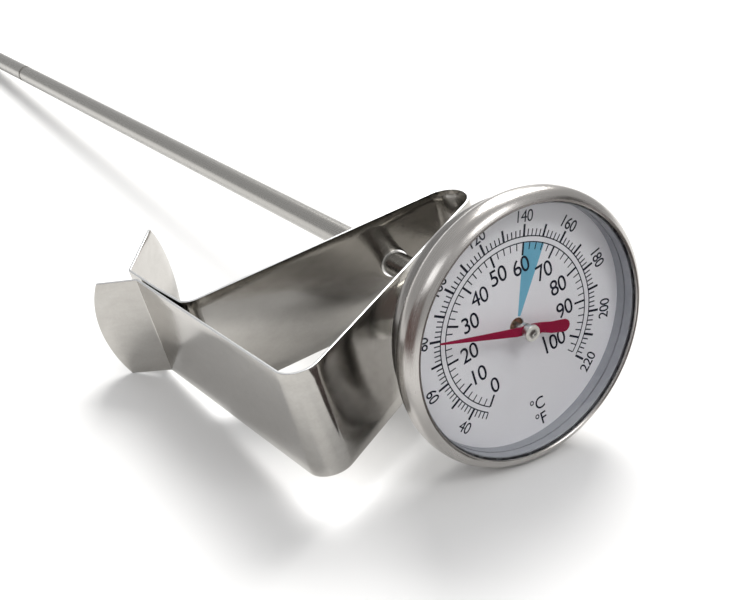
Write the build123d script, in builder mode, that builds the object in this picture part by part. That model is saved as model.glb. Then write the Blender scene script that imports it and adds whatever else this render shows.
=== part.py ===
"""Dial thermometer with a long stem and a spring pan clip, lying on a table.

Row frame, millimetres: +Z up from the table, the dial faces -Y, the stem runs
towards +Y, and the origin is the centre of the footprint on the table.

Every piece is drawn in the head's own frame: the origin O is the centre of the
dial face, h is the height along the stem axis (positive out of the dial,
negative towards the tip), r the radius from that axis.  The clip's strip is
drawn in the plane (n, h), where n is the distance from the stem axis towards
9 o'clock.
"""

import os
from math import cos, hypot, pi, radians, sin

from build123d import *

# ---------------------------------------------------------------- resting pose
STEM_DIP = 4.1153         # the stem falls this many degrees below level to its tip
ROLL = 13.4282            # the head is rolled this many degrees, 3 o'clock side up
DIAL_CENTRE = (12.389, -152.400, 24.711) # centre of the dial face above the table

# ------------------------------------------------------------------- the head
BEZEL_R = 24.86          # widest radius of the rolled bezel
BEZEL_MID_H = 2.0        # height of that widest line
LIP_R = 22.75            # opening of the bezel lip
LIP_TOP_H = 4.75
SHEET = 0.45             # bezel sheet
BEZEL_BACK_H = -0.9      # back edge of the bezel's curl
CRYSTAL_R = 23.2
CRYSTAL_H0, CRYSTAL_H1 = 3.95, 4.35      # flat rim of the domed crystal
CRYSTAL_IN_H, CRYSTAL_OUT_H = 4.75, 5.40  # crown of the crystal, inside and outside
GASKET_R0, GASKET_H0 = 22.5, 3.7
RING_R0, RING_R1 = 22.2, 23.0      # inner wall ring between dial and gasket
RING_GROOVE_H = 1.9
DIAL_R, DIAL_T = 23.0, 0.4
DIAL_HOLE_R = 1.5
CUP_BACK_H = -7.0        # outer face of the case back
CUP_T = 0.5
CUP_R = 22.3             # outer radius of the deep part of the case
CUP_CORNER_R = 3.5
NECK_HOLE_R = 4.6        # hole in the case back for the neck bushing
FLANGE_H0, FLANGE_H1 = -0.3, 0.05       # case flange inside the bezel's curl

# ------------------------------------------------------------------- the stem
STEM_R, STEM_WALL = 2.5, 0.4
STEM_TOP_H = -1.5
TIP_H = -312.0           # 12 in (305 mm) of stem below the case back
MARK_H, MARK_W, MARK_DEPTH = -252.0, 1.5, 0.2   # rolled immersion groove, 60 mm from the tip
NUT_AF = 12.0
NUT_H0, NUT_H1 = -13.0, -8.0
COLLAR_R = 3.5
RUN = 0.05               # radial running clearance

# ---------------------------------------------------------------- the pointer
SPINDLE_R = 0.6
SPINDLE_TOP_H, SPINDLE_END_H = 4.26, -266.0
BLADE_H0, BLADE_H1 = 2.55, 2.80
POINTER_TIP_R = 17.8
POINTER_TAIL_R = 9.2
DEG_PER_C = 2.7          # dial scale: 0 to 104 C over 280.8 degrees
TOP_C = 52.0             # reading at 12 o'clock
READING_C = 27.6         # reading in the resting state
HUB_R, CAP_R = 1.15, 1.47
CAP_H0, CAP_H1 = 3.90, 4.38

# ------------------------------------------------------------------- the clip
CLIP_W = 21.1            # strip width
CLIP_T = 0.5             # strip thickness
BEND_C_R, BEND_B_R = 4.1, 5.1   # the two big bends, on the centre line
PLATE_H0 = -21.1         # the front plate crosses the stem axis here
CORNER_C = (40.0, -2.63)  # bend between front plate and outer jaw arm
CORNER_B = (-27.1, -33.6)   # bend between front plate and back arm
KINK_K = (40.0, -43.6)   # kink between back arm and inner jaw
OUTER_BEND = (41.74, -61.6)  # outer arm turns out into its wing
WING1_END = (47.8, -68.1)
JAW_GAP = 0.3            # gap between the two jaws when closed
INNER_TOUCH_H = -54.6    # inner jaw meets the outer jaw here
INNER_BEND_H = -66.7     # inner jaw turns in to its wing
WING2_END = (30.85, -79.5)
WING1_BULGE, WING2_BULGE = 3.1, 3.5      # crown of the wings' free ends
CLIP_TURN = 1.95         # the clip is turned this many degrees about the stem, clockwise
PLATE_HOLE_R = STEM_R + 0.06
ARM_HOLE_R = 2.75
HINGE_H = -12.0          # flex line of the outer jaw
HINGE_GAP = 0.3

# ------------------------------------------------------------- working planes
_tau, _rho = radians(STEM_DIP), radians(ROLL)
O = Vector(*DIAL_CENTRE)
OUT = Vector(0, -cos(_tau), sin(_tau))                     # out of the dial
_up0 = Vector(0, sin(_tau), cos(_tau))
_x0 = Vector(1, 0, 0)
UP = _up0 * cos(_rho) - _x0 * sin(_rho)                    # towards 12 o'clock
RIGHT = _x0 * cos(_rho) + _up0 * sin(_rho)                 # towards 3 o'clock

HEAD = Plane(origin=O, x_dir=RIGHT, z_dir=OUT)             # dial face
SECTION = Plane(origin=O, x_dir=RIGHT, z_dir=UP * -1)      # x = r, y = h
_phi = radians(CLIP_TURN)
ACROSS = UP * cos(_phi) + RIGHT * sin(_phi)                # across the strip
NINE = UP * sin(_phi) - RIGHT * cos(_phi)                  # the strip's own n
STRIP = Plane(origin=O, x_dir=NINE, z_dir=ACROSS)          # x = n, y = h
AXIS = Axis(O, OUT)


def at(h):
    """Plane across the stem axis at height h, facing out of the dial."""
    return HEAD.offset(h)


def unit(a, b):
    d = hypot(b[0] - a[0], b[1] - a[1])
    return ((b[0] - a[0]) / d, (b[1] - a[1]) / d)


def along(a, b, t):
    u = unit(a, b)
    return (a[0] + u[0] * t, a[1] + u[1] * t)


def mitred(points, d):
    """Points of the path moved d to its left, mitred at the corners."""
    out = []
    for i, p in enumerate(points):
        if i == 0:
            u = unit(points[0], points[1])
            out.append((p[0] - u[1] * d, p[1] + u[0] * d))
            continue
        if i == len(points) - 1:
            u = unit(points[-2], points[-1])
            out.append((p[0] - u[1] * d, p[1] + u[0] * d))
            continue
        u, v = unit(points[i - 1], p), unit(p, points[i + 1])
        nx, ny = -u[1] - v[1], u[0] + v[0]
        k = 2.0 * d / (nx * nx + ny * ny)
        out.append((p[0] + nx * k, p[1] + ny * k))
    return out


def turns_left(points, i):
    u, v = unit(points[i - 1], points[i]), unit(points[i], points[i + 1])
    return u[0] * v[1] - u[1] * v[0] > 0


def side_radii(points, radii, d):
    """Bend radii of the path moved d to its left, concentric with the centre line's."""
    return [r - d if turns_left(points, i + 1) else r + d for i, r in enumerate(radii)]


# ======================================================================= head
with BuildPart() as bezel_ring:
    # one rolled sheet: lip, crowned band, and a curl gripping the case flange
    with BuildSketch(SECTION):
        with BuildLine():
            lip_in = LIP_TOP_H - 0.4
            back = BEZEL_BACK_H
            Polyline((LIP_R, lip_in), (LIP_R, LIP_TOP_H - 0.12), (LIP_R + 0.12, LIP_TOP_H), (23.2, LIP_TOP_H))
            ThreePointArc((23.2, LIP_TOP_H), (24.42, 3.65), (BEZEL_R, BEZEL_MID_H))
            ThreePointArc((BEZEL_R, BEZEL_MID_H), (24.56, 0.15), (23.8, back))
            Polyline((23.8, back), (23.6, back), (23.6, back + 0.4), (23.8, back + 0.4))
            ThreePointArc((23.8, back + 0.4), (24.20, 0.45), (BEZEL_R - SHEET, BEZEL_MID_H))
            ThreePointArc((BEZEL_R - SHEET, BEZEL_MID_H), (24.04, 3.35), (23.3, lip_in - 0.12))
            Polyline((23.3, lip_in - 0.12), (23.3, lip_in), (LIP_R, lip_in))
        make_face()
    revolve(axis=AXIS)

with BuildPart() as crystal:
    # slightly domed window with a flat rim
    with BuildSketch(SECTION):
        with BuildLine():
            r0, r1 = GASKET_R0, LIP_R - 0.05
            Polyline((0, CRYSTAL_OUT_H), (0, CRYSTAL_IN_H))
            TangentArc((0, CRYSTAL_IN_H), (r0, CRYSTAL_H0), tangent=(1, 0))
            Polyline((r0, CRYSTAL_H0), (CRYSTAL_R, CRYSTAL_H0), (CRYSTAL_R, CRYSTAL_H1 - 0.08), (CRYSTAL_R - 0.08, CRYSTAL_H1), (r1, CRYSTAL_H1))
            TangentArc((0, CRYSTAL_OUT_H), (r1, CRYSTAL_H1), tangent=(1, 0))
        make_face()
    revolve(axis=AXIS)

with BuildPart() as crystal_gasket:
    with BuildSketch(at(GASKET_H0)):
        Circle(CRYSTAL_R)
        Circle(GASKET_R0, mode=Mode.SUBTRACT)
    extrude(amount=CRYSTAL_H0 - GASKET_H0)

with BuildPart() as inner_wall_ring:
    # spacer between dial and gasket, with a shallow groove round its bore
    with BuildSketch(SECTION):
        with BuildLine():
            Polyline(
                (RING_R0, 0.0),
                (RING_R1, 0.0),
                (RING_R1, GASKET_H0 - 0.7),
                (CRYSTAL_R, GASKET_H0 - 0.7),
                (CRYSTAL_R, GASKET_H0),
                (RING_R0 + 0.2, GASKET_H0),
                (RING_R0 + 0.1, GASKET_H0 - 0.1),
                (RING_R0 + 0.1, RING_GROOVE_H + 0.1),
                (RING_R0 + 0.3, RING_GROOVE_H + 0.1),
                (RING_R0 + 0.3, RING_GROOVE_H - 0.1),
                (RING_R0, RING_GROOVE_H - 0.1),
                close=True,
            )
        make_face()
    revolve(axis=AXIS)

with BuildPart() as dial_plate:
    with BuildSketch(at(-DIAL_T)):
        Circle(DIAL_R)
        Circle(DIAL_HOLE_R, mode=Mode.SUBTRACT)
    extrude(amount=DIAL_T)

with BuildPart() as case_cup:
    with BuildSketch(SECTION):
        with BuildLine():
            inner = CUP_R - CUP_T
            Polyline(
                (NECK_HOLE_R, CUP_BACK_H),
                (NECK_HOLE_R, CUP_BACK_H + CUP_T),
                (CUP_R - CUP_CORNER_R, CUP_BACK_H + CUP_T),
            )
            RadiusArc(
                (CUP_R - CUP_CORNER_R, CUP_BACK_H + CUP_T),
                (inner, CUP_BACK_H + CUP_CORNER_R),
                -(CUP_CORNER_R - CUP_T),
            )
            Polyline(
                (inner, CUP_BACK_H + CUP_CORNER_R),
                (inner, -DIAL_T),
                (RING_R1, -DIAL_T),
                (RING_R1, FLANGE_H1),
                (23.78, FLANGE_H1),
                (23.78, FLANGE_H0),
                (23.5, FLANGE_H0),
                (23.5, -DIAL_T - CUP_T),
                (CUP_R, -DIAL_T - CUP_T),
                (CUP_R, CUP_BACK_H + CUP_CORNER_R),
            )
            RadiusArc(
                (CUP_R, CUP_BACK_H + CUP_CORNER_R),
                (CUP_R - CUP_CORNER_R, CUP_BACK_H),
                CUP_CORNER_R,
            )
            Line((CUP_R - CUP_CORNER_R, CUP_BACK_H), (NECK_HOLE_R, CUP_BACK_H))
        make_face()
    revolve(axis=AXIS)

with BuildPart() as neck_bushing:
    with BuildSketch(SECTION):
        with BuildLine():
            Polyline(
                (COLLAR_R + RUN, CUP_BACK_H),
                (NECK_HOLE_R, CUP_BACK_H),
                (NECK_HOLE_R, CUP_BACK_H + CUP_T),
                (5.6, CUP_BACK_H + CUP_T),
                (5.6, CUP_BACK_H + 1.0),
                (COLLAR_R + RUN, CUP_BACK_H + 1.0),
                close=True,
            )
        make_face()
    revolve(axis=AXIS)

# ======================================================================= stem
with BuildPart() as stem_tube:
    with BuildSketch(at(TIP_H + STEM_R)):
        Circle(STEM_R)
        Circle(STEM_R - STEM_WALL, mode=Mode.SUBTRACT)
    extrude(amount=STEM_TOP_H - TIP_H - STEM_R)
    # shallow ring that marks the least immersion
    with BuildSketch(at(MARK_H)):
        Circle(STEM_R + 0.5)
        Circle(STEM_R - MARK_DEPTH, mode=Mode.SUBTRACT)
    extrude(amount=MARK_W, mode=Mode.SUBTRACT)

with BuildPart() as stem_tip:
    with BuildSketch(SECTION):
        with BuildLine():
            Polyline(
                (0, TIP_H),
                (0, TIP_H + STEM_R + 3.0),
                (STEM_R - STEM_WALL, TIP_H + STEM_R + 3.0),
                (STEM_R - STEM_WALL, TIP_H + STEM_R),
                (STEM_R, TIP_H + STEM_R),
            )
            RadiusArc((STEM_R, TIP_H + STEM_R), (0, TIP_H), STEM_R)
        make_face()
    revolve(axis=AXIS)

with BuildPart() as stem_collar:
    with BuildSketch(SECTION):
        with BuildLine():
            Polyline(
                (STEM_R, -4.4),
                (5.2, -4.4),
                (5.2, -5.0),
                (COLLAR_R, -5.0),
                (COLLAR_R, NUT_H0 - 0.6),
                (STEM_R + 0.25, -16.2),
                (STEM_R, -16.2),
                close=True,
            )
        make_face()
    revolve(axis=AXIS)

with BuildPart() as calibration_nut:
    with BuildSketch(at(NUT_H0)):
        RegularPolygon(radius=NUT_AF / 2, side_count=6, major_radius=False)
        Circle(COLLAR_R, mode=Mode.SUBTRACT)
    extrude(amount=NUT_H1 - NUT_H0)
    # the corners are turned off on both faces, as on any machined nut
    with BuildSketch(SECTION):
        with BuildLine():
            Polyline(
                (0, NUT_H0),
                (NUT_AF / 2 - 0.15, NUT_H0),
                (NUT_AF / 2 + 1.2, NUT_H0 + 0.75),
                (NUT_AF / 2 + 1.2, NUT_H1 - 0.75),
                (NUT_AF / 2 - 0.15, NUT_H1),
                (0, NUT_H1),
                close=True,
            )
        make_face()
    revolve(axis=AXIS, mode=Mode.INTERSECT)

with BuildPart() as friction_washer:
    with BuildSketch(SECTION):
        with BuildLine():
            Polyline(
                (COLLAR_R + 0.2, -7.98),
                (7.2, -7.62),
                (7.2, -7.34),
                (COLLAR_R + 0.2, -7.70),
                close=True,
            )
        make_face()
    revolve(axis=AXIS)

with BuildPart() as neck_o_ring:
    with BuildSketch(SECTION):
        with Locations((4.05, -5.36)):
            Circle(0.35)
    revolve(axis=AXIS)

with BuildPart() as top_bushing:
    with BuildSketch(SECTION):
        with BuildLine():
            Polyline(
                (SPINDLE_R + RUN, -6.0),
                (STEM_R - STEM_WALL, -6.0),
                (STEM_R - STEM_WALL, -0.95),
                (STEM_R - STEM_WALL - 0.2, -0.75),
                (SPINDLE_R + RUN, -0.75),
                close=True,
            )
        make_face()
    revolve(axis=AXIS)

GUIDES_H = (-95.0, -180.0, -252.0)
with BuildPart() as spindle_guides:
    for h in GUIDES_H:
        with BuildSketch(at(h)):
            Circle(STEM_R - STEM_WALL)
            Circle(SPINDLE_R + RUN, mode=Mode.SUBTRACT)
        extrude(amount=4.0)

HELIX_R, HELIX_PITCH, HELIX_H0, HELIX_H1 = 1.5, 2.4, -301.5, -261.9
with BuildPart() as helix_anchor:
    with BuildSketch(at(TIP_H + STEM_R + 3.0)):
        Circle(1.9)
    extrude(amount=2.0)
    with BuildSketch(at(TIP_H + STEM_R + 5.0)):
        Circle(1.05)
    extrude(amount=6.0)

# the bimetal strip, wound edge to edge: made upright, then set on the stem's axis
with BuildPart() as upright_helix:
    with BuildLine():
        Helix(pitch=HELIX_PITCH, height=HELIX_H1 - HELIX_H0, radius=HELIX_R)
    with BuildSketch(Plane(origin=(HELIX_R, 0, 0), x_dir=(1, 0, 0), z_dir=(0, 2 * pi * HELIX_R, HELIX_PITCH))):
        Rectangle(0.22, 1.5)
    sweep(is_frenet=True)
with BuildPart() as bimetal_helix:
    add(HEAD.offset(HELIX_H0).location * upright_helix.part)

# ==================================================================== pointer
POINTER_DEG = (READING_C - TOP_C) * DEG_PER_C      # clockwise from 12 o'clock
BLADE = Plane(
    origin=HEAD.from_local_coords(Vector(0, 0, BLADE_H0)),
    x_dir=RIGHT * sin(radians(POINTER_DEG)) + UP * cos(radians(POINTER_DEG)),
    z_dir=OUT,
)

with BuildPart() as spindle:
    with BuildSketch(at(SPINDLE_END_H)):
        Circle(SPINDLE_R)
    extrude(amount=SPINDLE_TOP_H - SPINDLE_END_H)

with BuildPart() as spindle_collar:
    with BuildSketch(at(-264.5)):
        Circle(1.0)
        Circle(SPINDLE_R, mode=Mode.SUBTRACT)
    extrude(amount=5.0)

with BuildPart() as pointer_blade:
    with BuildSketch(BLADE):
        with BuildLine():
            Polyline(
                (-POINTER_TAIL_R + 1.1, -1.12),
                (0.0, -0.86),
                (POINTER_TIP_R - 0.15, -0.13),
                (POINTER_TIP_R, 0.0),
                (POINTER_TIP_R - 0.15, 0.13),
                (0.0, 0.86),
                (-POINTER_TAIL_R + 1.1, 1.12),
            )
            ThreePointArc(
                (-POINTER_TAIL_R + 1.1, 1.12),
                (-POINTER_TAIL_R, 0.0),
                (-POINTER_TAIL_R + 1.1, -1.12),
            )
        make_face()
        Circle(SPINDLE_R, mode=Mode.SUBTRACT)
    extrude(amount=BLADE_H1 - BLADE_H0)

with BuildPart() as pointer_hub:
    with BuildSketch(SECTION):
        with BuildLine():
            Polyline(
                (SPINDLE_R, BLADE_H1),
                (HUB_R, BLADE_H1),
                (HUB_R, CAP_H0),
                (CAP_R, CAP_H0),
                (CAP_R, CAP_H1 - 0.12),
                (CAP_R - 0.12, CAP_H1),
                (SPINDLE_R, CAP_H1),
                close=True,
            )
        make_face()
    revolve(axis=AXIS)

with BuildPart() as hub_shoulder:
    with BuildSketch(at(BLADE_H0 - 0.9)):
        Circle(HUB_R)
        Circle(SPINDLE_R, mode=Mode.SUBTRACT)
    extrude(amount=0.9)

# ======================================================================= clip
HINGE_T = (CORNER_C[1] - HINGE_H) / (CORNER_C[1] - OUTER_BEND[1])
HINGE = (CORNER_C[0] + (OUTER_BEND[0] - CORNER_C[0]) * HINGE_T, HINGE_H)
_shift = CLIP_T + JAW_GAP


def outer_n(h):
    """Centre line of the outer jaw arm at height h."""
    return CORNER_C[0] + (OUTER_BEND[0] - CORNER_C[0]) * (CORNER_C[1] - h) / (CORNER_C[1] - OUTER_BEND[1])


def wing_plate(a, b):
    """Plane of a wing: x runs from a to b in the strip's plane, y along the width."""
    u = unit(a, b)
    x_dir = NINE * u[0] + OUT * u[1]
    return Plane(
        origin=STRIP.from_local_coords(Vector(a[0], a[1], 0)),
        x_dir=x_dir,
        z_dir=x_dir.cross(ACROSS),
    )


# front plate, back arm, inner jaw and inner wing, in one strip
INNER_TOUCH = (outer_n(INNER_TOUCH_H) - _shift, INNER_TOUCH_H)
INNER_BEND = (outer_n(INNER_BEND_H) - _shift, INNER_BEND_H)
frame_path = [
    along(HINGE, CORNER_C, HINGE_GAP / 2),
    CORNER_C,
    CORNER_B,
    KINK_K,
    INNER_TOUCH,
    INNER_BEND,
    along(INNER_BEND, WING2_END, 3.0),
]
frame_radii = [BEND_C_R, BEND_B_R, 3.0, 12.0, 1.2]
wing2_start = frame_path[-1]
wing2_len = hypot(WING2_END[0] - wing2_start[0], WING2_END[1] - wing2_start[1])

with BuildPart() as clip_frame:
    with BuildSketch(STRIP):
        with BuildLine():
            a = FilletPolyline(*mitred(frame_path, CLIP_T / 2), radius=side_radii(frame_path, frame_radii, CLIP_T / 2))
            b = FilletPolyline(*mitred(frame_path, -CLIP_T / 2), radius=side_radii(frame_path, frame_radii, -CLIP_T / 2))
            Line(a @ 0, b @ 0)
            Line(a @ 1, b @ 1)
        make_face()
    extrude(amount=CLIP_W / 2, both=True)
    with BuildSketch(wing_plate(wing2_start, WING2_END)):
        with BuildLine():
            Polyline((wing2_len, -CLIP_W / 2), (0, -CLIP_W / 2), (0, CLIP_W / 2), (wing2_len, CLIP_W / 2))
            ThreePointArc((wing2_len, CLIP_W / 2), (wing2_len + WING2_BULGE, 0), (wing2_len, -CLIP_W / 2))
        make_face()
    extrude(amount=CLIP_T / 2, both=True)
    # the front plate's hole fits the stem, the back arm's hole is larger
    with BuildSketch(at(-28.0)):
        Circle(PLATE_HOLE_R)
    extrude(amount=14.0, mode=Mode.SUBTRACT)
    with BuildSketch(at(-45.0)):
        Circle(ARM_HOLE_R)
    extrude(amount=16.0, mode=Mode.SUBTRACT)

# outer jaw arm and its wing
jaw_path = [
    along(HINGE, OUTER_BEND, HINGE_GAP / 2),
    OUTER_BEND,
    along(OUTER_BEND, WING1_END, 2.5),
]
wing1_start = jaw_path[-1]
wing1_len = hypot(WING1_END[0] - wing1_start[0], WING1_END[1] - wing1_start[1])

with BuildPart() as clip_outer_jaw:
    with BuildSketch(STRIP):
        with BuildLine():
            c = FilletPolyline(*mitred(jaw_path, CLIP_T / 2), radius=side_radii(jaw_path, [1.2], CLIP_T / 2))
            d = FilletPolyline(*mitred(jaw_path, -CLIP_T / 2), radius=side_radii(jaw_path, [1.2], -CLIP_T / 2))
            Line(c @ 0, d @ 0)
            Line(c @ 1, d @ 1)
        make_face()
    extrude(amount=CLIP_W / 2, both=True)
    with BuildSketch(wing_plate(wing1_start, WING1_END)):
        with BuildLine():
            Polyline((wing1_len, -CLIP_W / 2), (0, -CLIP_W / 2), (0, CLIP_W / 2), (wing1_len, CLIP_W / 2))
            ThreePointArc((wing1_len, CLIP_W / 2), (wing1_len + WING1_BULGE, 0), (wing1_len, -CLIP_W / 2))
        make_face()
    extrude(amount=CLIP_T / 2, both=True)

# ===================================================================== export
os.makedirs("parts", exist_ok=True)
pieces = {
    "bezel_ring": bezel_ring,
    "crystal": crystal,
    "crystal_gasket": crystal_gasket,
    "inner_wall_ring": inner_wall_ring,
    "dial_plate": dial_plate,
    "case_cup": case_cup,
    "neck_bushing": neck_bushing,
    "stem_tube": stem_tube,
    "stem_tip": stem_tip,
    "stem_collar": stem_collar,
    "calibration_nut": calibration_nut,
    "friction_washer": friction_washer,
    "neck_o_ring": neck_o_ring,
    "top_bushing": top_bushing,
    "spindle_guides": spindle_guides,
    "helix_anchor": helix_anchor,
    "bimetal_helix": bimetal_helix,
    "spindle": spindle,
    "spindle_collar": spindle_collar,
    "pointer_blade": pointer_blade,
    "pointer_hub": pointer_hub,
    "hub_shoulder": hub_shoulder,
    "clip_frame": clip_frame,
    "clip_outer_jaw": clip_outer_jaw,
}
for name, piece in pieces.items():
    piece.part.label = name
    export_step(piece.part, f"parts/{name}.step")

print("pieces", len(pieces))
for tag, p in (("hinge", HINGE), ("inner touch", INNER_TOUCH), ("inner bend", INNER_BEND)):
    q = STRIP.from_local_coords(Vector(p[0], p[1], 0))
    print(tag, [round(v, 4) for v in q], "n,h", [round(v, 3) for v in p])
for tag, v in (("OUT", OUT), ("UP", UP), ("RIGHT", RIGHT)):
    print(tag, [round(x, 6) for x in v])
for h in (TIP_H, PLATE_H0, 0.0):
    print("axis point", h, [round(v, 4) for v in HEAD.from_local_coords(Vector(0, 0, h))])
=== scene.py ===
"""Looks of the dial thermometer with a spring clip.

Row frame, metres, +Z up.  Shapes are written in the head's own frame in
millimetres: x towards 3 o'clock, y towards 12 o'clock, h out of the dial along
the stem's axis.  The clip's strip uses (n, h), with n towards 9 o'clock.
"""

from math import acos, atan2, ceil, cos, hypot, pi, radians, sin, sqrt, tan

import bpy
import bmesh
from mathutils import Matrix, Vector
from mathutils.geometry import delaunay_2d_cdt


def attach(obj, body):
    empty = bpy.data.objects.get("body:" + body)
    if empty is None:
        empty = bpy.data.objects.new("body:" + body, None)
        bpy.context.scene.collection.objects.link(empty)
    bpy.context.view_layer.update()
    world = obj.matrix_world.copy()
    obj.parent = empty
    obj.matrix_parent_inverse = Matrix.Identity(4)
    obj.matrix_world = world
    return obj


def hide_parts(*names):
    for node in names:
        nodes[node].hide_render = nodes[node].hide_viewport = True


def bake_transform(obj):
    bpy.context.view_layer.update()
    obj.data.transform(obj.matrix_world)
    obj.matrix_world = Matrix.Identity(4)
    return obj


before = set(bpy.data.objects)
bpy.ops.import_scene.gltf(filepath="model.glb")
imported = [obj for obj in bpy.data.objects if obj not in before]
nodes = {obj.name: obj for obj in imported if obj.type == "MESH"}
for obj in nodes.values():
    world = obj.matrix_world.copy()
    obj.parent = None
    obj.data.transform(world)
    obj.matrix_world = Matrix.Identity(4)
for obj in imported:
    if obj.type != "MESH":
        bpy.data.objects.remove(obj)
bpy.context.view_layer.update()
scene = bpy.context.scene

# ------------------------------------------------------------ the head's frame
TAU, RHO, PHI = radians(4.1153), radians(13.4282), radians(1.95)
O = Vector((12.389, -152.400, 24.711))
OUT = Vector((0.0, -cos(TAU), sin(TAU)))
_up0, _x0 = Vector((0.0, sin(TAU), cos(TAU))), Vector((1.0, 0.0, 0.0))
UP = _up0 * cos(RHO) - _x0 * sin(RHO)
RIGHT = _x0 * cos(RHO) + _up0 * sin(RHO)
ACROSS = UP * cos(PHI) + RIGHT * sin(PHI)      # the clip stands turned about the stem
NINE = UP * sin(PHI) - RIGHT * cos(PHI)


def P(x, y, h):
    """Point of the head's frame (mm) in the row frame (m)."""
    return (O + RIGHT * x + UP * y + OUT * h) * 0.001


def S(n, w, h):
    """Point of the strip's frame: n towards 9 o'clock, w across the strip."""
    return (O + NINE * n + ACROSS * w + OUT * h) * 0.001


# =================================================================== node tools
def new_mat(name):
    m = bpy.data.materials.new(name)
    m.use_nodes = True
    nt = m.node_tree
    nt.nodes.clear()
    out = nt.nodes.new("ShaderNodeOutputMaterial")
    b = nt.nodes.new("ShaderNodeBsdfPrincipled")
    nt.links.new(b.outputs[0], out.inputs[0])
    return m, nt, b


class N:
    """Small helper for wiring nodes."""

    def __init__(self, nt):
        self.nt = nt

    def link(self, a, b):
        self.nt.links.new(a, b)

    def put(self, socket, v):
        if isinstance(v, bpy.types.NodeSocket):
            self.nt.links.new(v, socket)
        else:
            socket.default_value = v

    def obj(self):
        return self.nt.nodes.new("ShaderNodeTexCoord").outputs["Object"]

    def attr(self, name):
        n = self.nt.nodes.new("ShaderNodeAttribute")
        n.attribute_name = name
        return n.outputs["Vector"]

    def vm(self, op, a, b=None):
        n = self.nt.nodes.new("ShaderNodeVectorMath")
        n.operation = op
        self.put(n.inputs[0], a)
        if b is not None:
            self.put(n.inputs[1], b)
        return n.outputs["Value" if op in ("DOT_PRODUCT", "LENGTH") else "Vector"]

    def m(self, op, a, b=None, c=None, clamp=False):
        n = self.nt.nodes.new("ShaderNodeMath")
        n.operation = op
        n.use_clamp = clamp
        self.put(n.inputs[0], a)
        if b is not None:
            self.put(n.inputs[1], b)
        if c is not None:
            self.put(n.inputs[2], c)
        return n.outputs[0]

    def xyz(self, x, y, z):
        n = self.nt.nodes.new("ShaderNodeCombineXYZ")
        for i, v in enumerate((x, y, z)):
            self.put(n.inputs[i], v)
        return n.outputs[0]

    def noise(self, vec, scale=5.0, detail=4.0, rough=0.55):
        n = self.nt.nodes.new("ShaderNodeTexNoise")
        self.link(vec, n.inputs["Vector"])
        n.inputs["Scale"].default_value = scale
        n.inputs["Detail"].default_value = detail
        n.inputs["Roughness"].default_value = rough
        return n.outputs["Fac"]

    def ramp(self, fac, stops, mode="LINEAR"):
        n = self.nt.nodes.new("ShaderNodeValToRGB")
        n.color_ramp.interpolation = mode
        el = n.color_ramp.elements
        while len(el) < len(stops):
            el.new(0.5)
        for e, (p, c) in zip(el, stops):
            e.position = p
            e.color = (*c, 1.0) if len(c) == 3 else c
        self.link(fac, n.inputs[0])
        return n.outputs["Color"]

    def rng(self, fac, a, b, lo, hi):
        n = self.nt.nodes.new("ShaderNodeMapRange")
        self.link(fac, n.inputs["Value"])
        for k, v in (("From Min", a), ("From Max", b), ("To Min", lo), ("To Max", hi)):
            n.inputs[k].default_value = v
        return n.outputs["Result"]

    def mix(self, fac, a, b):
        n = self.nt.nodes.new("ShaderNodeMix")
        n.data_type = "RGBA"
        self.put(n.inputs[0], fac)
        self.put(n.inputs[6], (*a, 1.0) if isinstance(a, tuple) and len(a) == 3 else a)
        self.put(n.inputs[7], (*b, 1.0) if isinstance(b, tuple) and len(b) == 3 else b)
        return n.outputs[2]

    def bump(self, height, strength, distance):
        n = self.nt.nodes.new("ShaderNodeBump")
        n.inputs["Strength"].default_value = strength
        n.inputs["Distance"].default_value = distance
        self.link(height, n.inputs["Height"])
        return n.outputs[0]

    def polar(self):
        """(radius mm, turn angle, height mm) about the stem's axis."""
        p = self.vm("SUBTRACT", self.obj(), tuple(O * 0.001))
        x = self.m("MULTIPLY", self.vm("DOT_PRODUCT", p, tuple(RIGHT)), 1000.0)
        y = self.m("MULTIPLY", self.vm("DOT_PRODUCT", p, tuple(UP)), 1000.0)
        h = self.m("MULTIPLY", self.vm("DOT_PRODUCT", p, tuple(OUT)), 1000.0)
        r = self.m("SQRT", self.m("ADD", self.m("MULTIPLY", x, x), self.m("MULTIPLY", y, y)))
        a = self.m("ARCTAN2", y, x)
        return x, y, h, r, a


def turned_steel(name, tint, tint2, rough, rough2, streak=22.0, strength=0.05):
    """Steel brushed round the axis: fine rings, slow colour drift, soft wear."""
    m, nt, b = new_mat(name)
    k = N(nt)
    x, y, h, r, a = k.polar()
    ca, sa = k.m("COSINE", a), k.m("SINE", a)
    ring = k.xyz(k.m("MULTIPLY", ca, 1.3), k.m("MULTIPLY", sa, 1.3), k.m("MULTIPLY", k.m("ADD", r, h), streak / 3))
    lines = k.noise(ring, 3.0, 6.0, 0.7)
    drift = k.noise(k.vm("MULTIPLY", k.obj(), (1.0, 1.0, 1.0)), 90.0, 3.0, 0.5)
    k.link(k.mix(k.rng(drift, 0.3, 0.7, 0.0, 1.0), tint, tint2), b.inputs["Base Color"])
    b.inputs["Metallic"].default_value = 1.0
    k.link(k.rng(k.m("ADD", k.m("MULTIPLY", lines, 0.65), k.m("MULTIPLY", drift, 0.35)), 0.3, 0.7, rough, rough2), b.inputs["Roughness"])
    k.link(k.bump(lines, strength, 0.00004), b.inputs["Normal"])
    return m


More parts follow.
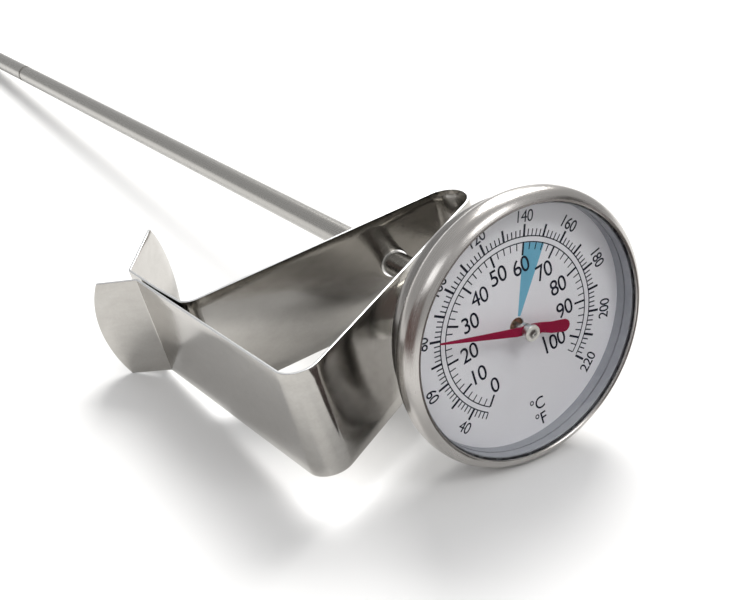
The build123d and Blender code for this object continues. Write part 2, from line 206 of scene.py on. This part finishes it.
def plain_grain(name, c1, c2, rough, rough2, metal=0.0, scale=900.0, strength=0.1, coat=0.0, spec=0.5):
    """Even surface with fine grain in colour, gloss and relief."""
    m, nt, b = new_mat(name)
    k = N(nt)
    n1 = k.noise(k.obj(), scale, 4.0, 0.6)
    n2 = k.noise(k.obj(), scale * 0.08, 3.0, 0.5)
    mixed = k.m("ADD", k.m("MULTIPLY", n1, 0.5), k.m("MULTIPLY", n2, 0.5))
    k.link(k.mix(k.rng(mixed, 0.35, 0.65, 0.0, 1.0), c1, c2), b.inputs["Base Color"])
    b.inputs["Metallic"].default_value = metal
    b.inputs["Coat Weight"].default_value = coat
    b.inputs["Coat Roughness"].default_value = 0.08
    b.inputs["Specular IOR Level"].default_value = spec
    k.link(k.rng(mixed, 0.3, 0.7, rough, rough2), b.inputs["Roughness"])
    k.link(k.bump(n1, strength, 0.00003), b.inputs["Normal"])
    return m


# ==================================================================== materials
M = {}
M["bezel"] = turned_steel("bezel_steel", (0.47, 0.45, 0.43), (0.52, 0.50, 0.48), 0.22, 0.30, 26.0, 0.04)
# case steel painted much darker than the bezel's steel, so the clip's front plate reflects it dark: painted shade
M["case"] = turned_steel("case_steel", (0.27, 0.26, 0.25), (0.33, 0.32, 0.31), 0.22, 0.34, 20.0, 0.06)
M["nut"] = plain_grain("nut_steel", (0.62, 0.61, 0.58), (0.70, 0.69, 0.66), 0.18, 0.30, 1.0, 700.0, 0.12)
M["brass"] = turned_steel("brass", (0.66, 0.46, 0.22), (0.74, 0.53, 0.28), 0.22, 0.36, 20.0, 0.06)
M["bronze"] = turned_steel("bronze", (0.50, 0.33, 0.20), (0.62, 0.44, 0.29), 0.2, 0.34, 20.0, 0.08)
M["bimetal"] = plain_grain("bimetal", (0.55, 0.50, 0.44), (0.63, 0.58, 0.51), 0.30, 0.42, 1.0, 1400.0, 0.1)
M["gasket"] = plain_grain("gasket_rubber", (0.050, 0.052, 0.058), (0.070, 0.072, 0.080), 0.45, 0.65, 0.0, 1500.0, 0.2)
M["ring"] = plain_grain("ring_grey", (0.30, 0.31, 0.34), (0.36, 0.37, 0.40), 0.38, 0.5, 0.0, 1100.0, 0.08)
M["ink"] = plain_grain("dial_ink", (0.010, 0.012, 0.024), (0.020, 0.022, 0.036), 0.50, 0.62, 0.0, 2500.0, 0.1, spec=0.1)
M["wedge"] = plain_grain("wedge_blue", (0.165, 0.440, 0.600), (0.195, 0.485, 0.650), 0.45, 0.55, 0.0, 2200.0, 0.06, spec=0.2)
M["pointer"] = plain_grain("pointer_red", (0.250, 0.006, 0.036), (0.290, 0.010, 0.048), 0.34, 0.44, 0.0, 1600.0, 0.06, spec=0.15)

# dial face: satin printed plate, very fine speckle, hardly visible rolling lines
m, nt, b = new_mat("dial_white")
k = N(nt)
x, y, h, r, a = k.polar()
speck = k.noise(k.obj(), 2600.0, 3.0, 0.6)
roll = k.noise(k.xyz(k.m("MULTIPLY", x, 0.15), k.m("MULTIPLY", y, 5.0), 0.0), 1.5, 4.0, 0.6)
mixd = k.m("ADD", k.m("MULTIPLY", speck, 0.55), k.m("MULTIPLY", roll, 0.45))
k.link(k.mix(k.rng(mixd, 0.35, 0.65, 0.0, 1.0), (0.830, 0.820, 0.850), (0.870, 0.860, 0.890)), b.inputs["Base Color"])
k.link(k.rng(mixd, 0.3, 0.7, 0.34, 0.46), b.inputs["Roughness"])
k.link(k.bump(speck, 0.05, 0.00002), b.inputs["Normal"])
M["dial"] = m

# pointer hub: grey turned barrel with a cream front face, darker towards the shaft
m, nt, b = new_mat("hub_metal")
k = N(nt)
x, y, h, r, a = k.polar()
front = k.m("MULTIPLY", k.m("GREATER_THAN", h, 4.30), k.m("GREATER_THAN", r, 0.66))
# the cream front face darkens towards the shaft, down to 0.45 at its inner edge
darker_by_shaft = k.rng(r, 0.66, 0.95, 0.45, 1.0)
fine = k.noise(k.obj(), 1800.0, 4.0, 0.6)
cream = k.mix(k.m("MULTIPLY", darker_by_shaft, k.rng(fine, 0.3, 0.7, 0.86, 1.0)), (0.16, 0.14, 0.12), (0.82, 0.80, 0.74))
metal = k.mix(k.rng(fine, 0.3, 0.7, 0.0, 1.0), (0.55, 0.54, 0.52), (0.66, 0.65, 0.63))
k.link(k.mix(front, metal, cream), b.inputs["Base Color"])
k.link(k.m("SUBTRACT", 1.0, front), b.inputs["Metallic"])
k.link(k.rng(fine, 0.3, 0.7, 0.26, 0.42), b.inputs["Roughness"])
k.link(k.bump(fine, 0.08, 0.00002), b.inputs["Normal"])
M["hub"] = m

# stem: centreless-ground tube, faint rings and faint long scratches
m, nt, b = new_mat("stem_steel")
k = N(nt)
x, y, h, r, a = k.polar()
rings = k.noise(k.xyz(k.m("MULTIPLY", x, 0.4), k.m("MULTIPLY", y, 0.4), k.m("MULTIPLY", h, 6.0)), 2.0, 5.0, 0.65)
longs = k.noise(k.xyz(k.m("MULTIPLY", x, 5.0), k.m("MULTIPLY", y, 5.0), k.m("MULTIPLY", h, 0.12)), 2.0, 4.0, 0.6)
mixd = k.m("ADD", k.m("MULTIPLY", rings, 0.6), k.m("MULTIPLY", longs, 0.4))
k.link(k.mix(k.rng(mixd, 0.35, 0.65, 0.0, 1.0), (0.40, 0.39, 0.37), (0.45, 0.44, 0.42)), b.inputs["Base Color"])
b.inputs["Metallic"].default_value = 1.0
k.link(k.rng(mixd, 0.3, 0.7, 0.24, 0.30), b.inputs["Roughness"])
k.link(k.bump(mixd, 0.015, 0.00002), b.inputs["Normal"])
M["stem"] = m

# clip: cold-rolled strip, grain along its length, faint mottling, cut edges painted brighter as a highlight
m, nt, b = new_mat("clip_steel")
k = N(nt)
sw = k.attr("strip")       # x along, y across, z 1 on the cut edges
sep = nt.nodes.new("ShaderNodeSeparateXYZ")
nt.links.new(sw, sep.inputs[0])
s_, w_, e_ = sep.outputs
grain = k.noise(k.xyz(k.m("MULTIPLY", s_, 0.10), k.m("MULTIPLY", w_, 7.0), 0.0), 1.2, 6.0, 0.7)
mottle = k.noise(k.xyz(k.m("MULTIPLY", s_, 0.20), k.m("MULTIPLY", w_, 0.35), 3.7), 1.6, 5.0, 0.6)
fine = k.noise(k.xyz(s_, w_, 1.3), 2.2, 3.0, 0.6)
body = k.mix(k.rng(k.m("ADD", k.m("MULTIPLY", mottle, 0.6), k.m("MULTIPLY", fine, 0.4)), 0.35, 0.65, 0.0, 1.0), (0.43, 0.415, 0.39), (0.485, 0.47, 0.445))
# cut edges painted near-white: a painted highlight
k.link(k.mix(e_, body, (0.78, 0.79, 0.80)), b.inputs["Base Color"])
b.inputs["Metallic"].default_value = 1.0
gm = k.m("ADD", k.m("MULTIPLY", grain, 0.45), k.m("MULTIPLY", mottle, 0.55))
k.link(k.m("ADD", k.rng(gm, 0.32, 0.68, 0.10, 0.16), k.m("MULTIPLY", e_, 0.16)), b.inputs["Roughness"])
k.link(k.bump(k.m("ADD", k.m("MULTIPLY", grain, 0.7), k.m("MULTIPLY", fine, 0.3)), 0.02, 0.00002), b.inputs["Normal"])
M["clip"] = m

# crystal: clear window, lets lamp light through to the dial
m, nt, b = new_mat("crystal_glass")
k = N(nt)
b.inputs["Base Color"].default_value = (0.985, 0.99, 0.99, 1.0)
b.inputs["Transmission Weight"].default_value = 1.0
b.inputs["IOR"].default_value = 1.20
smear = k.noise(k.obj(), 140.0, 3.0, 0.5)
k.link(k.rng(smear, 0.35, 0.75, 0.0, 0.02), b.inputs["Roughness"])
out = [n for n in nt.nodes if n.type == "OUTPUT_MATERIAL"][0]
path = nt.nodes.new("ShaderNodeLightPath")
clear = nt.nodes.new("ShaderNodeBsdfTransparent")
clear.inputs[0].default_value = (0.985, 0.987, 0.99, 1.0)
mixs = nt.nodes.new("ShaderNodeMixShader")
nt.links.new(path.outputs["Is Shadow Ray"], mixs.inputs[0])
nt.links.new(b.outputs[0], mixs.inputs[1])
nt.links.new(clear.outputs[0], mixs.inputs[2])
nt.links.new(mixs.outputs[0], out.inputs[0])
M["crystal"] = m

finish_of = {
    "bezel_ring": "bezel", "crystal": "crystal", "crystal_gasket": "gasket",
    "inner_wall_ring": "ring", "dial_plate": "dial", "case_cup": "case",
    "neck_bushing": "brass", "stem_tube": "stem", "stem_tip": "stem",
    "stem_collar": "nut", "calibration_nut": "nut", "friction_washer": "nut",
    "neck_o_ring": "gasket", "top_bushing": "bronze", "spindle_guides": "brass",
    "helix_anchor": "brass", "bimetal_helix": "bimetal", "spindle": "hub",
    "spindle_collar": "brass", "pointer_blade": "pointer", "pointer_hub": "hub",
    "hub_shoulder": "hub", "clip_frame": "clip", "clip_outer_jaw": "clip",
}
for name, o in nodes.items():
    o.data.materials.clear()
    o.data.materials.append(M[finish_of[name]])


# ==================================================================== mesh tools
def add_mesh(name, verts, faces, mats, smooth=True, angle=32.0):
    me = bpy.data.meshes.new(name)
    me.from_pydata([tuple(v) for v in verts], [], faces)
    me.validate()
    o = bpy.data.objects.new(name, me)
    scene.collection.objects.link(o)
    for mt in mats:
        me.materials.append(mt)
    if smooth:
        for p in me.polygons:
            p.use_smooth = True
        bm = bmesh.new()
        bm.from_mesh(me)
        bmesh.ops.recalc_face_normals(bm, faces=bm.faces)
        for e in bm.edges:
            if len(e.link_faces) == 2 and e.calc_face_angle(0.0) > radians(angle):
                e.smooth = False
        bm.to_mesh(me)
        bm.free()
    return o


# ===================================================================== the strip
def fillet_path(points, radii):
    """Segments of a filleted polyline: ('L', p, u, length) and ('A', centre, r, a0, sweep)."""
    segs, cur = [], Vector(points[0])
    for i in range(1, len(points) - 1):
        a, p, b_ = Vector(points[i - 1]), Vector(points[i]), Vector(points[i + 1])
        u, v = (p - a).normalized(), (b_ - p).normalized()
        turn = acos(max(-1.0, min(1.0, u.dot(v))))
        t = radii[i - 1] * tan(turn / 2)
        q = p - u * t
        side = 1.0 if u.x * v.y - u.y * v.x > 0 else -1.0
        nrm = Vector((-u.y, u.x)) * side
        c = q + nrm * radii[i - 1]
        segs.append(("L", cur.copy(), u, (q - cur).length))
        a0 = atan2(q.y - c.y, q.x - c.x)
        segs.append(("A", c, radii[i - 1], a0, turn * side))
        cur = p + v * t
    last = Vector(points[-1])
    u = (last - cur).normalized()
    segs.append(("L", cur.copy(), u, (last - cur).length))
    return segs


WING1_END, OUTER_BEND = (47.8, -68.1), (41.74, -61.6)
CORNER_C, CORNER_B, KINK_K = (40.0, -2.63), (-27.1, -33.6), (40.0, -43.6)
INNER_TOUCH, INNER_BEND, WING2_END = (40.733, -54.6), (41.090, -66.7), (30.85, -79.5)
STRIP_W, STRIP_T, BULGE1, BULGE2 = 21.1, 0.5, 3.1, 3.5
segs = fillet_path(
    [WING1_END, OUTER_BEND, CORNER_C, CORNER_B, KINK_K, INNER_TOUCH, INNER_BEND, WING2_END],
    [1.2, 4.1, 5.1, 3.0, 12.0, 1.2],
)
seg_len = [s[3] if s[0] == "L" else s[2] * abs(s[4]) for s in segs]
TOTAL = sum(seg_len)


def path_at(s):
    """(point, tangent) of the strip's centre line at length s."""
    if s <= 0:
        return segs[0][1] + segs[0][2] * s, segs[0][2]
    left = s
    for g, L in zip(segs, seg_len):
        if left <= L + 1e-9:
            break
        left -= L
    if g[0] == "L":
        return g[1] + g[2] * left, g[2]
    c, rr, a0, sweep = g[1], g[2], g[3], g[4]
    sg = 1.0 if sweep > 0 else -1.0
    a_ = a0 + sg * left / rr
    return c + Vector((cos(a_), sin(a_))) * rr, Vector((-sin(a_), cos(a_))) * sg


stations = [0.0]
for g, L in zip(segs, seg_len):
    k_ = max(1, ceil(L / 2.6)) if g[0] == "L" else max(3, ceil(abs(g[4]) / radians(4.5)))
    base = stations[-1]
    for i in range(1, k_ + 1):
        stations.append(base + L * i / k_)


def crown(w, bulge):
    """How far a wing's free end stands beyond its chord at width w."""
    half = STRIP_W / 2
    R = (half * half + bulge * bulge) / (2 * bulge)
    return sqrt(max(0.0, R * R - w * w)) - (R - bulge)


EDGE = 0.10   # rounding of the cut edges
half = STRIP_W / 2
outline = []
for s in stations:
    outline.append((s, -half))
for i in range(1, 24):
    w = -half + STRIP_W * i / 24
    outline.append((TOTAL + crown(w, BULGE2), w))
for s in reversed(stations):
    outline.append((s, half))
for i in range(1, 24):
    w = half - STRIP_W * i / 24
    outline.append((-crown(w, BULGE1), w))


def hole_loop(seg_from, seg_to, radius, count=56):
    """The stem's hole in a flat part: an ellipse in (s, w), drilled along the axis n = 0."""
    best = min((abs(path_at(s)[0].x), s) for s in [seg_from + (seg_to - seg_from) * i / 4000 for i in range(4001)])[1]
    t = path_at(best)[1]
    # the hole's wall stands square to the strip, so it is longer by the strip's thickness along the slope
    stretch = radius / abs(t.x) + STRIP_T / 2 * abs(t.y / t.x) + 0.02
    return best, [(best + stretch * cos(-2 * pi * i / count), radius * sin(-2 * pi * i / count)) for i in range(count)]


cum = [0.0]
for L in seg_len:
    cum.append(cum[-1] + L)
plate_s, plate_hole = hole_loop(cum[4], cum[5], 2.56)
arm_s, arm_hole = hole_loop(cum[6], cum[7], 2.75)


def inset(loop, d):
    """Loop moved d to its left, mitred, and the outward directions."""
    out, dirs = [], []
    n = len(loop)
    for i, p in enumerate(loop):
        a_, c_ = Vector(loop[i - 1]), Vector(loop[(i + 1) % n])
        p_ = Vector(p)
        u, v = (p_ - a_).normalized(), (c_ - p_).normalized()
        left = Vector((-u.y - v.y, u.x + v.x))
        left *= 2.0 / max(1e-9, left.length_squared)
        if left.length > 1.6:
            left = left.normalized() * 1.6
        out.append(tuple(p_ + left * d))
        dirs.append(-left)
    return out, dirs


loops = [outline, plate_hole, arm_hole]
inner = [inset(l, EDGE) for l in loops]
pts, cons = [], []
for loop, _ in inner:
    base = len(pts)
    pts += [Vector(p) for p in loop]
    cons += [(base + i, base + (i + 1) % len(loop)) for i in range(len(loop))]
n_rim = len(pts)
rows = [half * q for q in (-0.80, -0.55, -0.28, 0.0, 0.28, 0.55, 0.80)]


def near_hole(s, w):
    for hs, loop in ((plate_s, plate_hole), (arm_s, arm_hole)):
        rs = max(abs(p[0] - hs) for p in loop)
        rw = max(abs(p[1]) for p in loop)
        if ((s - hs) / (rs + 0.7)) ** 2 + (w / (rw + 0.7)) ** 2 < 1:
            return True
    return False


for s in stations:
    for w in rows:
        if not near_hole(s, w):
            pts.append(Vector((s, w)))
for hs, loop in ((plate_s, plate_hole), (arm_s, arm_hole)):
    rs = max(abs(p[0] - hs) for p in loop)
    rw = max(abs(p[1]) for p in loop)
    for i in range(28):
        q = 2 * pi * (i + 0.5) / 28
        pts.append(Vector((hs + (rs + 0.75) * cos(q), (rw + 0.75) * sin(q))))
tri_pts, _, tri_faces, src, _, _ = delaunay_2d_cdt(pts, cons, [], 0, 1e-7)


def inside(loop, p):
    c = False
    n = len(loop)
    for i in range(n):
        x1, y1 = loop[i]
        x2, y2 = loop[(i + 1) % n]
        if (y1 > p[1]) != (y2 > p[1]) and p[0] < (x2 - x1) * (p[1] - y1) / (y2 - y1) + x1:
            c = not c
    return c


flat = []
for f in tri_faces:
    cx_ = sum(tri_pts[i][0] for i in f) / len(f)
    cy_ = sum(tri_pts[i][1] for i in f) / len(f)
    if inside(inner[0][0], (cx_, cy_)) and not inside(inner[1][0], (cx_, cy_)) and not inside(inner[2][0], (cx_, cy_)):
        flat.append(list(f))
index_of = {}
for i, ss in enumerate(src):
    for q in ss:
        index_of[q] = i


def strip_point(s, w, t):
    if s > TOTAL:
        c, u = path_at(TOTAL)
        c = c + u * (s - TOTAL)
    else:
        c, u = path_at(s)
    nrm = Vector((-u.y, u.x))
    c = c + nrm * t
    return S(c.x, w, c.y)


verts, tags = [], []
for p in tri_pts:
    verts.append(strip_point(p[0], p[1], STRIP_T / 2))
    tags.append((p[0], p[1], 0.0))
base = len(tri_pts)
for p in tri_pts:
    verts.append(strip_point(p[0], p[1], -STRIP_T / 2))
    tags.append((p[0], p[1], 0.0))
faces = [list(f) for f in flat] + [[base + i for i in reversed(f)] for f in flat]
offset = 0
profile = []
for j in range(1, 4):
    q = radians(30.0 * j)
    profile.append((EDGE * sin(q), STRIP_T / 2 - EDGE * (1 - cos(q))))
profile += [(d, -t) for d, t in reversed(profile)]
for loop, dirs in inner:
    n = len(loop)
    top = [index_of[offset + i] for i in range(n)]
    rings = [top]
    for d, t in profile:
        ring = []
        for i in range(n):
            p = Vector(loop[i]) + dirs[i] * d
            ring.append(len(verts))
            verts.append(strip_point(p.x, p.y, t))
            tags.append((p.x, p.y, 1.0))
        rings.append(ring)
    rings.append([base + i for i in top])
    for ra, rb in zip(rings, rings[1:]):
        for i in range(n):
            j = (i + 1) % n
            faces.append([ra[i], rb[i], rb[j], ra[j]])
    offset += n

clip_strip = add_mesh("clip_strip", verts, faces, [M["clip"]], angle=40.0)
at = clip_strip.data.attributes.new("strip", "FLOAT_VECTOR", "POINT")
for i, tg in enumerate(tags):
    at.data[i].vector = tg
loose = [v.index for v in clip_strip.data.vertices]
bm = bmesh.new()
bm.from_mesh(clip_strip.data)
bmesh.ops.delete(bm, geom=[v for v in bm.verts if not v.link_faces], context="VERTS")
bm.to_mesh(clip_strip.data)
bm.free()

# the strip in two: the springy outer arm with its bend, and the rest, which stays with the clip
SEAM = cum[4] + 2.0
clip_arm = clip_strip.copy()
clip_arm.data = clip_strip.data.copy()
clip_arm.name = clip_arm.data.name = "clip_spring_arm"
scene.collection.objects.link(clip_arm)
for part, keep_low in ((clip_strip, False), (clip_arm, True)):
    bm = bmesh.new()
    bm.from_mesh(part.data)
    tag = bm.verts.layers.float_vector["strip"]
    drop = []
    for f in bm.faces:
        low = sum(v[tag][0] for v in f.verts) / len(f.verts) < SEAM
        if low != keep_low:
            drop.append(f)
    bmesh.ops.delete(bm, geom=drop, context="FACES")
    bmesh.ops.delete(bm, geom=[v for v in bm.verts if not v.link_faces], context="VERTS")
    bm.to_mesh(part.data)
    bm.free()
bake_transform(clip_arm)
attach(clip_strip, "clip")
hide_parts("clip_frame")
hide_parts("clip_outer_jaw")


# ==================================================================== dial print
def dial_angle(c):
    return radians(2.7 * (c - 52.0))     # clockwise from 12


def at_polar(r, ang):
    return r * sin(ang), r * cos(ang)


INK_H = 0.018
pv, pf = [], []


def prism(outline_xy, h0=-0.004, h1=INK_H, store=None):
    V, F = store if store is not None else (pv, pf)
    n = len(outline_xy)
    b0 = len(V)
    for h_ in (h1, h0):
        V.extend(P(x_, y_, h_) for x_, y_ in outline_xy)
    F.append([b0 + i for i in range(n)])
    F.append([b0 + n + i for i in reversed(range(n))])
    for i in range(n):
        j = (i + 1) % n
        F.append([b0 + i, b0 + n + i, b0 + n + j, b0 + j])


def tick(ang, r0, r1, width):
    ux, uy = sin(ang), cos(ang)
    px, py = uy * width / 2, -ux * width / 2
    prism([(ux * r0 - px, uy * r0 - py), (ux * r0 + px, uy * r0 + py), (ux * r1 + px, uy * r1 + py), (ux * r1 - px, uy * r1 - py)])


def arc(r0, r1, a0, a1, steps=180):
    V, F = pv, pf
    b0 = len(V)
    for i in range(steps + 1):
        q = a0 + (a1 - a0) * i / steps
        for rr in (r0, r1):
            for h_ in (INK_H * 0.8, -0.004):
                x_, y_ = at_polar(rr, q)
                V.append(P(x_, y_, h_))
    for i in range(steps):
        p0, p1 = b0 + 4 * i, b0 + 4 * (i + 1)
        F.append([p0, p0 + 2, p1 + 2, p1])
        F.append([p0 + 1, p1 + 1, p1 + 3, p0 + 3])
        F.append([p0, p1, p1 + 1, p0 + 1])
        F.append([p0 + 2, p0 + 3, p1 + 3, p1 + 2])
    F.append([b0, b0 + 1, b0 + 3, b0 + 2])
    e = b0 + 4 * steps
    F.append([e, e + 2, e + 3, e + 1])


R_C, R_F = 14.74, 15.76
arc(R_C - 0.10, R_C + 0.10, dial_angle(0), dial_angle(104))
arc(R_F - 0.10, R_F + 0.10, dial_angle(0), dial_angle(104))
for c in range(0, 105, 2):
    big = c % 10 == 0
    mid = False
    tick(dial_angle(c), R_C - 0.05, R_C - (2.25 if big else 1.30), 0.38 if big else 0.20)
for f in range(32, 221, 2):
    big = f % 10 == 0
    tick(dial_angle((f - 32) / 1.8), R_F + 0.05, R_F + (2.15 if big else 1.25), 0.42 if big else 0.22)
ticks = add_mesh("dial_scale", pv, pf, [M["ink"]], smooth=False)
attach(ticks, "head")


def lettering(name, items):
    """Numerals as thin raised print; items are (text, x, y, turn clockwise, size mm)."""
    parts = []
    for text, x_, y_, turn, size in items:
        cu = bpy.data.curves.new(name + "_t", "FONT")
        cu.body = text
        cu.size = size
        cu.align_x, cu.align_y = "CENTER", "CENTER"
        cu.space_character = 0.92
        cu.resolution_u = 5
        cu.extrude = 0.011
        # a wider outline fills in the counter of a 4
        cu.offset = 0.001 if "4" in text else 0.020
        tmp = bpy.data.objects.new(name + "_t", cu)
        scene.collection.objects.link(tmp)
        dg = bpy.context.evaluated_depsgraph_get()
        me = bpy.data.meshes.new_from_object(tmp.evaluated_get(dg))
        xs = [v.co.x for v in me.vertices]
        ys = [v.co.y for v in me.vertices]
        mx, my = (min(xs) + max(xs)) / 2, (min(ys) + max(ys)) / 2
        ct, st = cos(turn), sin(turn)
        for v in me.vertices:
            lx, ly, lz = (v.co.x - mx) * 0.90, v.co.y - my, v.co.z
            gx, gy = x_ + lx * ct + ly * st, y_ - lx * st + ly * ct
            v.co = P(gx, gy, 0.007 + lz)
        parts.append(me)
        bpy.data.objects.remove(tmp)
    bm_ = bmesh.new()
    for me in parts:
        bm_.from_mesh(me)
        bpy.data.meshes.remove(me)
    bmesh.ops.remove_doubles(bm_, verts=bm_.verts, dist=1e-7)
    bmesh.ops.recalc_face_normals(bm_, faces=bm_.faces)
    me = bpy.data.meshes.new(name)
    bm_.to_mesh(me)
    bm_.free()
    me.materials.clear()
    me.materials.append(M["ink"])
    o = bpy.data.objects.new(name, me)
    scene.collection.objects.link(o)
    return o


items = []
for text, r_, c_ in (("0", 10.9, 1.4), ("10", 10.2, 10.7), ("20", 10.2, 21.1), ("30", 10.3, 31.1), ("40", 10.6, 40.7),
                     ("50", 10.8, 49.8), ("60", 10.6, 59.3), ("70", 10.2, 70.2), ("80", 10.2, 80.1), ("90", 10.3, 90.2), ("100", 9.6, 103.0)):
    x_, y_ = at_polar(r_, dial_angle(c_))
    dx, dy = {"10": (0.0, -0.5), "20": (0.0, -0.5)}.get(text, (0.22 if text in ("0", "30", "50", "60", "70") else 0.0, 0.0))
    items.append((text, x_ + dx, y_ + dy, 0.0, 4.2))
for f_ in range(40, 221, 20):
    ang = dial_angle((f_ - 32) / 1.8)
    r_ = 19.3
    x_, y_ = at_polar(r_, ang)
    flip = pi if f_ in (40, 60, 200, 220) else 0.0
    items.append((str(f_), x_, y_, ang + flip, 3.0))
items.append(("°C", -0.27, -16.7, 0.0, 3.4))
items.append(("°F", -0.27, -19.9, 0.0, 3.4))
numerals = lettering("dial_numerals", items)
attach(numerals, "head")

wv, wf = [], []
a0, a1 = dial_angle(60.0), dial_angle(66.5)
wedge = [at_polar(1.72, a0)] + [at_polar(R_C - 0.12, a0 + (a1 - a0) * i / 12) for i in range(13)] + [at_polar(1.72, a1)]
prism(wedge, -0.004, 0.008, (wv, wf))
band = add_mesh("dial_wedge", wv, wf, [M["wedge"]], smooth=False)
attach(band, "head")

# ========================================================================= stage
def stage_mesh(name, verts, mat, camera=True):
    me = bpy.data.meshes.new(name)
    me.from_pydata(verts, [], [list(range(len(verts)))])
    me.materials.append(mat)
    o = bpy.data.objects.new(name, me)
    scene.collection.objects.link(o)
    o.visible_camera = camera
    return o


m, nt, b = new_mat("floor_pale")
b.inputs["Base Color"].default_value = (0.84, 0.838, 0.836, 1.0)
b.inputs["Roughness"].default_value = 0.6
stage_mesh("floor", [(-4, -4, 0), (4, -4, 0), (4, 4, 0), (-4, 4, 0)], m)


def card(name, centre, look, width, height, colour, shadow=False):
    """A matt card beside the object, seen only in reflections."""
    m, nt, b = new_mat(name)
    b.inputs["Base Color"].default_value = (*colour, 1.0)
    b.inputs["Roughness"].default_value = 0.9
    c = Vector(centre)
    d = (Vector(look) - c).normalized()
    u = d.cross(Vector((0, 0, 1))).normalized()
    v = u.cross(d).normalized()
    vs = [c - u * width / 2 - v * height / 2, c + u * width / 2 - v * height / 2, c + u * width / 2 + v * height / 2, c - u * width / 2 + v * height / 2]
    o = stage_mesh(name, [tuple(p) for p in vs], m, camera=False)
    o.visible_shadow = shadow
    o.visible_diffuse = False
    return o


card("flag_front", (0.066, -0.232, 0.0030), (0.066, -0.229, 0.3), 0.13, 0.135, (0.045, 0.030, 0.028))
card("flag_left", (-0.42, -0.30, 0.16), (0.0, -0.15, 0.03), 0.35, 0.30, (0.06, 0.05, 0.045))
card("flag_side", (-0.130, -0.165, 0.040), (0.0, -0.155, 0.030), 0.17, 0.08, (0.075, 0.035, 0.028))
card("flag_right", (0.40, -0.42, 0.14), (0.0, -0.15, 0.03), 0.30, 0.26, (0.05, 0.045, 0.045))

# ======================================================================== lights
world = bpy.data.worlds.new("studio")
scene.world = world
world.use_nodes = True
wn = world.node_tree
bg = wn.nodes["Background"] if "Background" in wn.nodes else wn.nodes.new("ShaderNodeBackground")
bg.inputs[0].default_value = (1.0, 1.0, 1.0, 1.0)
bg.inputs[1].default_value = 0.52


def area(name, loc, look, sx, sy, power, colour=(1, 1, 1)):
    li = bpy.data.lights.new(name, "AREA")
    li.shape = "RECTANGLE"
    li.size, li.size_y = sx, sy
    li.energy = power
    li.color = colour
    o = bpy.data.objects.new(name, li)
    scene.collection.objects.link(o)
    o.location = loc
    o.rotation_euler = (Vector(look) - Vector(loc)).to_track_quat("-Z", "Y").to_euler()
    return o


mid = Vector((0.0, -0.12, 0.02))
area("key", (0.45, 0.35, 0.75), mid, 0.6, 0.6, 12.0, (1.0, 0.99, 0.97))
area("front", (0.15, -0.65, 0.70), mid, 0.35, 0.3, 1.4, (1.0, 1.0, 1.0))
area("fill", (-0.75, -0.35, 0.55), mid, 0.6, 0.6, 2.0, (0.97, 0.985, 1.0))

# ======================================================================== camera
cam_data = bpy.data.cameras.new("camera")
cam = bpy.data.objects.new("camera", cam_data)
scene.collection.objects.link(cam)
cam_data.sensor_width = 36.0
cam_data.lens = 36.0 * 1338.197 / 736.0
right = Vector((0.84280376, -0.53604721, -0.04832399))
down = Vector((-0.28417611, -0.36694641, -0.88577326))
fwd = Vector((0.45708397, 0.76026556, -0.46159562))
loc = Vector((-111.0474, -309.4489, 134.2567)) * 0.001
rot = Matrix((right, -down, -fwd)).transposed()
cam.matrix_world = Matrix.Translation(loc) @ rot.to_4x4()
cam_data.clip_start, cam_data.clip_end = 0.01, 50.0
cam_data.dof.use_dof = False
scene.camera = cam

scene.view_settings.view_transform = "Standard"
scene.view_settings.look = "None"
